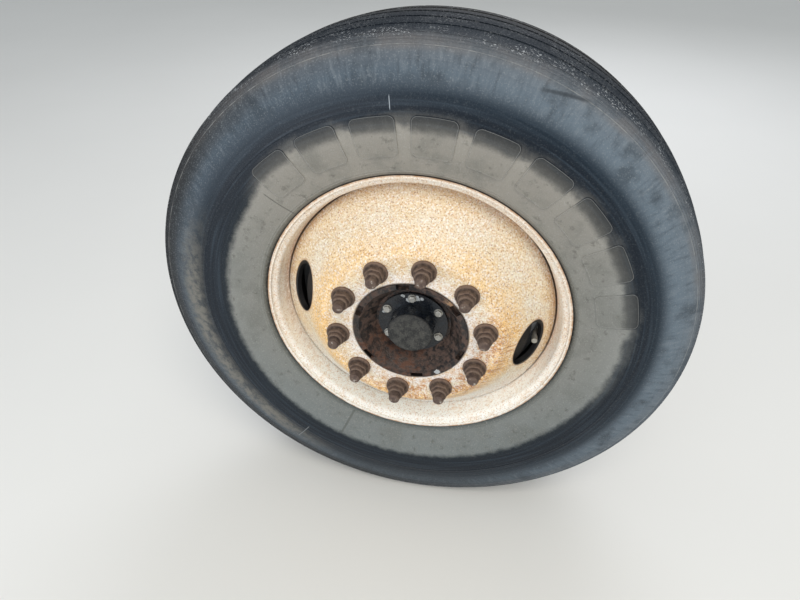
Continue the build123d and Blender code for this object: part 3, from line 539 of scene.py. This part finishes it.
def wheelEnamel(name, onRim):
    material, add = startMaterial(name)
    space = wheelSpace(add)
    radius, turn, point, outboard = (space[key] for key in ("radius", "turn", "point", "outboard"))
    clouds = add("noise", point, 1000 / 75, 4.0, 0.6)
    mottle = add("noise", point, 1000 / 12, 5.0, 0.7)
    specks = add("noise", point, 1000 / 2.8, 2.0, 0.55)
    dots = add("noise", add("sum", point, (0.3, 0.1, 0.2)), 1000 / 2.4, 1.0, 0.5)
    flecks = add("noise", add("sum", point, (0.1, 0.5, 0.4)), 1000 / 3.4, 2.0, 0.5)
    colour = add("blend", add("ease", clouds, 0.35, 0.65), enamel["cream"], enamel["yellowed"])
    low = add("ease", space["height"], 40.0, -215.0)
    aged = partial(toLinear, light=enamel["aged"])

    if onRim:
        # The gutter is darker deep in at the left, and paler at the bottom, partly cleaner paint and partly
        # painted light where it faces up; the arc under the lip at the top is brown.
        colour = add("blend", 0.7, colour, aged("#F0E4D2"))
        deep = add("ease", outboard, 276.0, 262.0)
        darkerDeepLeft = add("times", deep, add("ease", add("size", turn), 120.0, 165.0, 0.15, 0.75))
        darkerDeepLeft = add("times", darkerDeepLeft, add("ease", mottle, 0.4, 0.6, 0.5, 1.0))
        colour = add("blend", darkerDeepLeft, colour, aged("#C2AA98"))
        palerShare = add("times", low, add("ease", mottle, 0.66, 0.46, 0.45, 0.95))
        colour = add("blend", palerShare, colour, enamel["chalkAndLight"])
        rusty = add("times", band(add, turn, 50.0, 122.0, 16.0), band(add, outboard, 250.0, 284.0, 9.0))
        rusty = add("times", rusty, 0.75)
    else:
        # Rust spreads from the nuts, most at the front and low, and streaks outwards.
        side = add("plus", band(add, turn, -118.0, 12.0, 24.0), 0.12)
        near = band(add, radius, 122.0, 182.0, 14.0)
        rusty = add("times", add("times", near, side), add("ease", mottle, 0.42, 0.62))
        rays = ringNoise(add, space, 42.0, 0.018)
        streak = add("times", band(add, radius, 150.0, 205.0, 12.0), add("ease", rays, 0.53, 0.63))
        rusty = add("plus", rusty, add("times", streak, add("times", side, 0.8)))
        # Painted light and shade: paler low on the disc, where its cone faces up, and greyer at the top.
        paintedLightLow = add("times", add("ease", space["height"], -95.0, -195.0), add("ease", radius, 190.0, 206.0))
        colour = add("blend", paintedLightLow, colour, enamel["chalkAndLight"])
        colour = add("blend", add("ease", space["height"], 60.0, 230.0, 0.0, 0.4), colour, "#D2C9B4")
        sallow = add("times", band(add, radius, 158.0, 206.0, 18.0),
                     add("ease", space["height"], 150.0, 0.0, 0.4, 1.0))
        sallow = add("times", sallow, add("ease", clouds, 0.3, 0.6, 0.6, 1.0))
        colour = add("blend", sallow, colour, "#F6CB82")
        halo = add("times", add("ease", radius, 146.0, 118.0), add("ease", mottle, 0.62, 0.42, 0.1, 0.75))
        colour = add("blend", halo, colour, aged("#F4EEE6"))

    # Where the disc meets the rim: a brown band that is partly rust and partly painted shade, and a painted
    # shadow line in the crevice, widest at the front and the upper rear.
    across = add("join", add("minus", radius, enamel["creaseRadius"]),
                 add("minus", outboard, enamel["creaseOut"]), 0.0)
    away = add("length", across)
    strength = rampOver(add, turn, enamel["crease"])
    shade = add("times", add("ease", away, 20.0, 3.0, 0.0, 0.6), strength)
    shade = add("times", shade, add("ease", mottle, 0.3, 0.6, 0.5, 1.0))
    rusty = add("plus", rusty, shade)

    # Orange mottling, white flecks and two sizes of rust speck, all denser where it is rusty.
    orange = add("ease", mottle, 0.46, 0.72, 0.0, 0.3 if onRim else 0.55)
    colour = add("blend", orange, colour, "#D1AD7A")
    colour = add("blend", add("times", rusty, 0.62), colour, enamel["rust"])
    denser = add("times", rusty, 0.08)
    palerShare = 0.04 if onRim else 0.0
    bias = add("minus", denser, palerShare)
    freckles = add("ease", add("plus", specks, bias), 0.49, 0.64, 0.0, 0.6)
    colour = add("blend", freckles, colour, aged("#D09A5C"))
    colour = add("blend", add("ease", flecks, 0.48, 0.36, 0.0, 0.7), colour, aged("#FFFAEE"))
    spots = add("ease", add("plus", dots, bias), 0.58, 0.7, 0.0, 0.7)
    colour = add("blend", spots, colour, enamel["deepRust"])
    # The crease's dark line: painted shadow.
    colour = add("blend", add("times", add("ease", away, 5.5, 2.5), strength), colour, "#2B190C")

    if onRim:
        lip = add("times", add("ease", radius, 294.5, 297.0), add("ease", mottle, 0.35, 0.6, 0.3, 0.9))
        colour = add("blend", lip, colour, aged("#B58A60"))
        # A painted shadow along the joint with the tyre, and painted shade on the rim's inside behind the
        # disc, seen through the hand holes.
        colour = add("blend", add("ease", radius, 297.6, 298.6), colour, "#2B1D14")
        colour = add("blend", add("ease", outboard, 236.0, 226.0), colour, enamel["dark"])
    else:
        # Round each hand hole a rust tint, then its cut walls painted near black as shade.
        for holeTurn in enamel["holeTurns"]:
            edge = holeDistance(add, point, holeTurn)
            colour = add("blend", add("ease", edge, 1.2, 1.12, 0.0, 0.4), colour, "#A8703C")
            colour = add("blend", add("ease", edge, 1.12, 1.06), colour, enamel["dark"])
        # Next to the bore, seen through the hub's pilot notches, the disc is painted dark as shade.
        colour = add("blend", add("ease", radius, 114.0, 110.5, 0.0, 0.9), colour, "#33241B")
        # The faces turned inboard or to the spindle, and the ends of the hand holes, lie in the dark.
        facing = add("coordinates", out="Normal")
        inboard, outward = add("split", facing, out="Y"), add("along", facing, space["around"])
        hidden = add("ease", add("minus", inboard, outward), 0.2, 0.6, 0.0, 0.95)
        colour = add("blend", hidden, colour, enamel["dark"])
        ends = add("length", add("join", inboard, outward, 0.0))
        colour = add("blend", add("ease", ends, 0.6, 0.4), colour, enamel["dark"])

    relief = add("plus", add("times", specks, 0.6), mottle)
    add("output", add("shader", Base_Color=colour, Roughness=0.55,
                      Normal=add("bump", Distance=0.35 * mm, Height=relief)))
    return material


# The joint of disc and rim is run full of sealer under the paint, and the disc's finish paints the crease's
# shadow line on it.
joint = {
    "radius": 266.4,
    "outboard": 250.5,
    "bead": 2.7,
    "steps": 240,
}


def buildJoint(material):
    bm = bmesh.new()
    place = Matrix.Translation(Vector((joint["radius"], -joint["outboard"], 0)) * mm)
    bead = bmesh.ops.create_circle(bm, segments=12, radius=joint["bead"] * mm, matrix=place)["verts"]
    edges = list({edge for vert in bead for edge in vert.link_edges})
    bmesh.ops.spin(bm, geom=bead + edges, cent=(0, 0, 0), axis=(0, 1, 0), angle=2 * math.pi,
                   steps=joint["steps"], use_merge=True)
    bmesh.ops.remove_doubles(bm, verts=bm.verts, dist=0.01 * mm)
    bmesh.ops.recalc_face_normals(bm, faces=bm.faces)
    mesh = bpy.data.meshes.new("discJointSealed")
    bm.to_mesh(mesh)
    bm.free()
    return finishPiece("discJointSealed", mesh, "wheel", material)


# Nuts, studs and cap bolts

nuts = {
    "count": 10,
    "circle": 285.75,
    "phase": 8.4,
    "seat": 345.0,              # the disc's outer face, outboard
    "flats": 33.0,
    "corner": 18.4,             # radius that the hexagon's corners are turned to
    "steps": 48,
    # height above the seat and radius; the body is drawn at the flats' radius
    "section": ((0.0, 11.2), (0.0, 22.4), (0.8, 23.0), (3.6, 23.0), (5.0, 22.4), (6.2, 21.0),
                (6.8, 19.8), (7.0, 18.0), (7.6, 16.5), (12.0, 16.5), (15.5, 16.4), (17.2, 16.0),
                (18.2, 15.2), (18.6, 14.6), (19.2, 14.9), (20.0, 15.0), (23.5, 14.9), (25.2, 14.5),
                (26.4, 13.7), (27.0, 12.6), (27.0, 11.2)),
    "body": (7.3, 18.4),
}

studs = {
    "shank": 11.0,
    "headBack": 291.0,
    "headFront": 299.0,
    "headRadius": 15.5,
    "threadFrom": 373.0,
    "tip": 387.0,
    "pitch": 2.4,               # drawn coarser than the real 1.5, which is too fine to show
    "depth": 0.7,
    "dome": 2.4,
    "steps": 32,
}


def placeAround(radius, turn, outboard, spin=0.0):
    # Local Z points outboard and local X away from the spindle.
    at = math.radians(turn)
    out = Vector((math.cos(at), 0, math.sin(at)))
    side = Vector((-math.sin(at), 0, math.cos(at)))
    turned = Matrix((out, side, Vector((0, -1, 0)))).transposed().to_4x4()
    middle = (out * radius + Vector((0, -outboard, 0))) * mm
    return Matrix.Translation(middle) @ turned @ Matrix.Rotation(math.radians(spin), 4, "Z")


def latheMesh(section, steps, closed):
    # A profile of (height, radius) spun round local Z; open ends lie on the axis.
    bm = bmesh.new()
    ring = [bm.verts.new((radius * mm, 0, height * mm)) for height, radius in section]
    edges = [bm.edges.new((ring[at - 1], ring[at])) for at in range(0 if closed else 1, len(ring))]
    bmesh.ops.spin(bm, geom=ring + edges, cent=(0, 0, 0), axis=(0, 0, 1), angle=2 * math.pi,
                   steps=steps, use_merge=True)
    bmesh.ops.remove_doubles(bm, verts=bm.verts, dist=0.01 * mm)
    bmesh.ops.recalc_face_normals(bm, faces=bm.faces)
    return bm


def makeHexagonal(bm, flats, corner, low, high):
    # Draws the round body between two heights out to its six corners.
    half = flats / 2
    for vert in bm.verts:
        height = vert.co.z / mm
        reach = vert.co.xy.length / mm
        if low < height < high and reach > half * 0.84:
            side = math.atan2(vert.co.y, vert.co.x) % (math.pi / 3) - math.pi / 6
            stretch = min(half / math.cos(side), corner) / half
            vert.co.x *= stretch
            vert.co.y *= stretch


def repeatPiece(name, source, places):
    joined = bmesh.new()
    single = bpy.data.meshes.new(name + "One")
    source.to_mesh(single)
    source.free()
    for place in places:
        copy = single.copy()
        copy.transform(place)
        joined.from_mesh(copy)
        bpy.data.meshes.remove(copy)
    mesh = bpy.data.meshes.new(name)
    joined.to_mesh(mesh)
    joined.free()
    bpy.data.meshes.remove(single)
    return mesh


def boltPlaces(outboard, turnEach):
    return [placeAround(nuts["circle"] / 2, nuts["phase"] + 360 / nuts["count"] * step, outboard,
                        turnEach * step) for step in range(nuts["count"])]


def buildNuts(material):
    bm = latheMesh(nuts["section"], nuts["steps"], True)
    makeHexagonal(bm, nuts["flats"], nuts["corner"], *nuts["body"])
    mesh = repeatPiece("wheelNutsRusted", bm, boltPlaces(nuts["seat"], 37))
    return finishPiece("wheelNutsRusted", mesh, "wheel", material, ["wheel_nuts"])


def buildStuds(material):
    shank, back = studs["shank"], studs["headBack"]
    section = [(0, 0), (0, studs["headRadius"]), (studs["headFront"] - back, studs["headRadius"]),
               (studs["headFront"] - back, shank)]
    height = studs["threadFrom"] - back
    end = studs["tip"] - back - studs["dome"]
    while height + studs["pitch"] < end:
        section += [(height, shank), (height + studs["pitch"] * 0.35, shank),
                    (height + studs["pitch"] * 0.6, shank - studs["depth"]),
                    (height + studs["pitch"] * 0.8, shank - studs["depth"])]
        height += studs["pitch"]
    for step in range(7):
        share = math.radians(15 * step)
        section.append((end + studs["dome"] * math.sin(share), (shank - 0.8) * math.cos(share)))
    section[-1] = (studs["tip"] - back, 0)
    bm = latheMesh(section, studs["steps"], False)
    mesh = repeatPiece("wheelStudsRusted", bm, boltPlaces(back, 0))
    return finishPiece("wheelStudsRusted", mesh, "wheel", material, ["wheel_studs"])


capBolts = {
    "count": 6,
    "circle": 114.3,
    "phase": 32.0,
    "seat": 313.0,
    "flats": 13.0,
    "corner": 7.3,
    "section": ((0.0, 0.0), (0.0, 8.6), (0.9, 8.6), (1.3, 8.2), (1.4, 6.5), (1.8, 6.5),
                (5.0, 6.5), (5.7, 6.2), (6.0, 5.4), (5.7, 3.8), (5.7, 0.0)),
    "body": (1.35, 5.6),
    "steps": 36,
}


def buildCapBolts(material):
    bm = latheMesh(capBolts["section"], capBolts["steps"], False)
    makeHexagonal(bm, capBolts["flats"], capBolts["corner"], *capBolts["body"])
    pitch = 360 / capBolts["count"]
    places = [placeAround(capBolts["circle"] / 2, capBolts["phase"] + pitch * step, capBolts["seat"],
                          23 * step) for step in range(capBolts["count"])]
    mesh = repeatPiece("capBoltsZinc", bm, places)
    return finishPiece("capBoltsZinc", mesh, "wheel", material, ["cap_bolts"])


# Bearing grease, dried: whitish smears round the top bolt of the cap and on the hub's lip.
grease = {
    # radius, turn, outboard and size
    "places": ((58.0, 84.0, 313.0, 6.0), (53.0, 99.0, 313.0, 5.0), (63.0, 108.0, 313.0, 3.6),
               (60.0, 74.0, 313.0, 3.2), (104.0, -58.0, 347.0, 5.0), (60.0, 162.0, 313.0, 3.0)),
    "thickness": 0.2,
    "ragged": 0.55,
}


def buildGrease(material):
    joined = bmesh.new()
    for radius, turn, outboard, size in grease["places"]:
        lump = bmesh.ops.create_icosphere(joined, subdivisions=4, radius=size * mm)["verts"]
        for vert in lump:
            seed = vert.co * 320 + Vector((turn, radius, 0))
            vert.co *= 1.0 + grease["ragged"] * (noise.noise(seed) + 0.5 * noise.noise(seed * 2.3))
            vert.co.z *= grease["thickness"]
        bmesh.ops.transform(joined, matrix=placeAround(radius, turn, outboard), verts=lump)
    mesh = bpy.data.meshes.new("greaseSmears")
    joined.to_mesh(mesh)
    joined.free()
    return finishPiece("greaseSmears", mesh, "wheel", material)


# Forged nuts and studs, rusted through: matt umber, with painted shade in the steps and painted highlights
# on the edges.
# The stops are heights above the seat: the nuts' up to their top, and then the studs'.
fastener = {
    "nutTones": ((0.0, "#6A4528"), (2.5, "#564237"), (4.6, "#68564A"), (6.0, "#58473C"), (7.0, "#31251E"),
                 (9.5, "#47382F"), (15.0, "#4E3F36"), (17.4, "#665449"), (18.7, "#31251E"),
                 (20.5, "#43342D"), (24.5, "#4E3F36"), (26.6, "#67564B"), (27.4, "#2B2019")),
    "nutLight": (1.25, 1.25, 1.25),
    "studTones": ((30.0, "#40312B"), (37.0, "#493A33"), (40.5, "#5A4A42"), (42.0, "#4E403A")),
}


def rustedFastener():
    material, add = startMaterial("forgedSteelRusted")
    space = wheelSpace(add)
    patches = add("noise", space["point"], 1000 / 9, 5.0, 0.7)
    fine = add("noise", space["point"], 1000 / 2, 3.0)
    above = add("minus", space["outboard"], nuts["seat"])
    onStud = add("range", above, fastener["nutTones"][-1][0], fastener["studTones"][0][0])
    colour = add("blend", onStud, rampOver(add, above, fastener["nutTones"], fastener["nutLight"]),
                 rampOver(add, above, fastener["studTones"]))
    colour = add("blend", add("ease", patches, 0.4, 0.7, 0.0, 0.5), colour, "#7C6857")
    colour = add("blend", add("ease", patches, 0.48, 0.3, 0.0, 0.6), colour, "#3A2B23")
    colour = add("blend", add("ease", fine, 0.45, 0.3, 0.0, 0.5), colour, "#2B1E17")
    worn = add("ease", patches, 0.58, 0.66, 0.0, 0.8)
    worn = add("times", add("ease", space["outboard"], 384.5, 386.6), worn)
    colour = add("blend", worn, colour, "#B9B4AC")
    add("output", add("shader", Base_Color=colour, Roughness=0.82,
                      Normal=add("bump", Distance=0.7 * mm, Height=add("plus", fine, patches))))
    return material


# Hub, cast iron: dark scale over rust, with brown patches low at the rear and one bare chip.
def hubIron():
    material, add = startMaterial("castIronRustedHub")
    space = wheelSpace(add)
    radius, turn, point = space["radius"], space["turn"], space["point"]
    patches = add("noise", point, 1000 / 16, 5.0, 0.7)
    blots = add("noise", point, 1000 / 11, 4.0)
    fine = add("noise", point, 1000 / 2.4, 3.0)
    colour = add("blend", add("ease", patches, 0.4, 0.58), "#25201D", "#524139")
    colour = add("blend", add("ease", blots, 0.5, 0.62, 0.0, 0.9), colour, "#0F1114")
    rusty = add("times", band(add, turn, -165.0, -70.0, 12.0), add("ease", patches, 0.45, 0.6, 0.1, 0.6))
    colour = add("blend", rusty, colour, "#5E3B28")
    chip = add("times", band(add, turn, 38.0, 52.0, 4.0), add("ease", radius, 100.5, 104.0))
    chip = add("times", chip, add("ease", patches, 0.42, 0.5, 0.0, 0.8))
    colour = add("blend", chip, colour, "#9C7C5E")
    colour = add("blend", add("ease", fine, 0.55, 0.75, 0.0, 0.4), colour, "#6F5A48")
    relief = add("plus", fine, add("times", patches, 2.0))
    add("output", add("shader", Base_Color=colour, Metallic=0.1,
                      Roughness=add("ease", patches, 0.4, 0.6, 0.42, 0.85),
                      Normal=add("bump", Distance=1.0 * mm, Height=relief)))
    return material


# Hub cap, black enamel: glossy blue-black on the flange, dulled by dust on its end.
def capEnamel():
    material, add = startMaterial("enamelBlackCap")
    space = wheelSpace(add)
    patches = add("noise", space["point"], 1000 / 14, 5.0, 0.7)
    fine = add("noise", space["point"], 1000 / 1.8, 3.0)
    end = add("ease", space["outboard"], 343.0, 348.5)
    dusty = add("blend", add("ease", patches, 0.42, 0.6), "#161818", "#3D3D3A")
    dusty = add("blend", add("ease", space["radius"], 34.0, 44.0, 0.0, 0.6), dusty, "#101214")
    colour = add("blend", add("ease", patches, 0.5, 0.7), "#0B1119", "#1D242B")
    colour = add("blend", end, colour, dusty)
    grit = add("times", add("ease", fine, 0.55, 0.7), add("ease", end, 0.0, 1.0, 0.12, 0.5))
    colour = add("blend", grit, colour, "#77736A")
    roughness = add("plus", add("times", end, 0.5), add("ease", patches, 0.4, 0.7, 0.2, 0.45))
    add("output", add("shader", Base_Color=colour, Roughness=roughness,
                      Normal=add("bump", Distance=0.3 * mm, Height=fine)))
    return material


backFinishes = {
    "blackPaintRoadDirt": {      # chassis black, brushed on forgings: dirt on top, rust at the edges
        "base": "#1E1D1C", "worn": "#3B2A20", "dark": "#0E0D0D", "dustColour": "#6E6557",
        "patch": 38.0, "grit": 3.0, "wornFrom": 0.56, "speck": 0.5, "dust": 0.75,
        "roughness": (0.55, 0.85), "metallic": 0.0, "depth": 0.7},
    "castIronDrum": {            # cast iron, turned and rusted, with brown scale: near black, darkened further as painted shade seen through the hand holes
        "base": "#120E0C", "worn": "#2B1D16", "dark": "#0A0807", "dustColour": "#3A332B",
        "patch": 30.0, "grit": 2.6, "wornFrom": 0.55, "speck": 0.7, "dust": 0.3,
        "roughness": (0.75, 0.95), "metallic": 0.0, "depth": 0.9},
    "castIronGrimy": {           # cast iron lever, bare: brown rust under road dirt
        "base": "#4A3327", "worn": "#6B4630", "dark": "#22170F", "dustColour": "#7A6C5A",
        "patch": 30.0, "grit": 2.6, "wornFrom": 0.5, "speck": 0.7, "dust": 0.45,
        "roughness": (0.7, 0.9), "metallic": 0.1, "depth": 0.9},
    "pressedSheetDusty": {       # pressed sheet in thin black paint: grey with road dust
        "base": "#2E2C2A", "worn": "#4A3526", "dark": "#171514", "dustColour": "#7D7466",
        "patch": 45.0, "grit": 3.4, "wornFrom": 0.6, "speck": 0.4, "dust": 0.9,
        "roughness": (0.5, 0.8), "metallic": 0.0, "depth": 0.4},
    "forgedSteelBackRusted": {   # bare forged steel: brown rust, lighter on raised grain
        "base": "#4B382C", "worn": "#6B4A33", "dark": "#231813", "dustColour": "#7A6A58",
        "patch": 12.0, "grit": 1.8, "wornFrom": 0.5, "speck": 0.7, "dust": 0.5,
        "roughness": (0.65, 0.85), "metallic": 0.2, "depth": 0.5},
    "zincPlateDull": {           # zinc plate, dull: light grey with white bloom
        "base": "#A9A9A4", "worn": "#C9C7BE", "dark": "#6E6B64", "dustColour": "#8D8578",
        "patch": 9.0, "grit": 1.5, "wornFrom": 0.52, "speck": 0.6, "dust": 0.35,
        "roughness": (0.35, 0.6), "metallic": 0.6, "depth": 0.2},
    "nickelPlateDull": {         # nickel on brass, dull: warm light grey
        "base": "#A8A59C", "worn": "#C4C0B6", "dark": "#6A6358", "dustColour": "#9A9284",
        "patch": 8.0, "grit": 1.4, "wornFrom": 0.52, "speck": 0.5, "dust": 0.4,
        "roughness": (0.3, 0.5), "metallic": 0.7, "depth": 0.1},
    "steelGround": {             # hardened steel, ground: bright with an oil film
        "base": "#8D8F90", "worn": "#A3A5A6", "dark": "#5A5853", "dustColour": "#5E5548",
        "patch": 20.0, "grit": 1.2, "wornFrom": 0.5, "speck": 0.4, "dust": 0.2,
        "roughness": (0.22, 0.38), "metallic": 1.0, "depth": 0.05},
    "greaseDried": {             # lithium grease, dried: chalky white with grit in it
        "base": "#AEB3B5", "worn": "#8F9392", "dark": "#66655F", "dustColour": "#A09E96",
        "patch": 7.0, "grit": 1.6, "wornFrom": 0.5, "speck": 0.5, "dust": 0.3,
        "roughness": (0.4, 0.7), "metallic": 0.0, "depth": 0.4},
}

finishes = {name: weathered(name, settings) for name, settings in backFinishes.items()}
finishes["tyre"] = tyreRubber("rubberMouldedRoadWorn", False)
finishes["pads"] = tyreRubber("rubberMouldedPads", True)
finishes["rim"] = wheelEnamel("enamelCreamRim", True)
finishes["disc"] = wheelEnamel("enamelCreamDisc", False)
finishes["fastener"] = rustedFastener()
finishes["hub"] = hubIron()
finishes["cap"] = capEnamel()
print("finishes made:", len(finishes))

nodeFinish = {
    "rim": "rim", "wheel_disc": "disc", "hub": "hub", "hub_cap": "cap",
    "valve_stem": "nickelPlateDull", "brake_drum": "castIronDrum",
    "inner_bearing": "steelGround", "outer_bearing": "steelGround", "spindle_nut": "steelGround",
    "knuckle": "blackPaintRoadDirt", "tie_rod_arm": "blackPaintRoadDirt",
    "brake_spider": "blackPaintRoadDirt", "cam_bracket": "blackPaintRoadDirt",
    "brake_chamber": "blackPaintRoadDirt", "dust_shield": "pressedSheetDusty",
    "knuckle_bolts": "forgedSteelBackRusted", "arm_bolts": "forgedSteelBackRusted",
    "camshaft": "forgedSteelBackRusted", "slack_adjuster": "castIronGrimy", "push_rod": "zincPlateDull",
}
for nodeName, finish in nodeFinish.items():
    coat(nodeName, finishes[finish])

buildTyre(finishes["tyre"])
buildPads(finishes["pads"])
buildJoint(finishes["disc"])
print("tyre built")
buildNuts(finishes["fastener"])
buildStuds(finishes["fastener"])
buildCapBolts(finishes["zincPlateDull"])
buildGrease(finishes["greaseDried"])
print("fasteners built")


# Camera, floor and light

cameraSetup = {
    "focalPixels": 620.0,       # fitted to the rim's edge and the studs in the photograph
    "imageWidth": 800.0,
    "sensor": 36.0,
    "place": (158.1, -1244.7, 734.9),
    "tilt": 54.19,              # from looking straight down
    "turn": 11.15,
}

stage = {
    "floorSize": 24.0,          # metres
    "floorColours": ("#DCDCD8", "#E2E2DE"),
    "skyColour": "#ECF1F6",
    "sky": 0.62,
    # place, size and power of each soft light, aimed at the wheel
    "lights": (("keyLight", (1.0, -3.0, 3.6), 2.6, 132.0, "#FFF8EE"),
               ("fillLight", (-1.8, -3.0, 0.3), 2.4, 48.0, "#F2F6FF"),
               ("backLight", (0.5, 3.2, 2.6), 2.4, 60.0, "#F4F6FF")),
}


def addCamera():
    data = bpy.data.cameras.new("viewCamera")
    data.sensor_width = cameraSetup["sensor"]
    data.lens = cameraSetup["focalPixels"] / cameraSetup["imageWidth"] * cameraSetup["sensor"]
    camera = bpy.data.objects.new("viewCamera", data)
    camera.location = Vector(cameraSetup["place"]) * mm
    camera.rotation_euler = (math.radians(cameraSetup["tilt"]), 0, math.radians(cameraSetup["turn"]))
    bpy.context.scene.collection.objects.link(camera)
    bpy.context.scene.camera = camera


def addFloor():
    material, add = startMaterial("floorPale")
    cloud = add("noise", add("coordinates", out="Object"), 1000 / 900, 3.0)
    add("output", add("shader", Base_Color=add("blend", cloud, *stage["floorColours"]), Roughness=0.85))
    bm = bmesh.new()
    bmesh.ops.create_grid(bm, x_segments=1, y_segments=1, size=stage["floorSize"] / 2)
    bmesh.ops.translate(bm, verts=bm.verts, vec=(0, 0, -tyre["radius"] * mm))
    mesh = bpy.data.meshes.new("floor")
    bm.to_mesh(mesh)
    bm.free()
    mesh.materials.append(material)
    floor = bpy.data.objects.new("floor", mesh)
    bpy.context.scene.collection.objects.link(floor)


def addLights():
    for name, place, size, power, colour in stage["lights"]:
        data = bpy.data.lights.new(name, "AREA")
        data.size = size
        data.energy = power
        data.color = toLinear(colour)[:3]
        light = bpy.data.objects.new(name, data)
        light.location = place
        light.rotation_euler = (-Vector(place)).to_track_quat("-Z", "Y").to_euler()
        bpy.context.scene.collection.objects.link(light)
    world = bpy.data.worlds.new("softSky")
    bpy.context.scene.world = world
    world.use_nodes = True
    sky = world.node_tree.nodes["Background"]
    sky.inputs["Color"].default_value = toLinear(stage["skyColour"])
    sky.inputs["Strength"].default_value = stage["sky"]
    bpy.context.scene.view_settings.view_transform = "Standard"


addCamera()
addFloor()
addLights()
print("stage set")
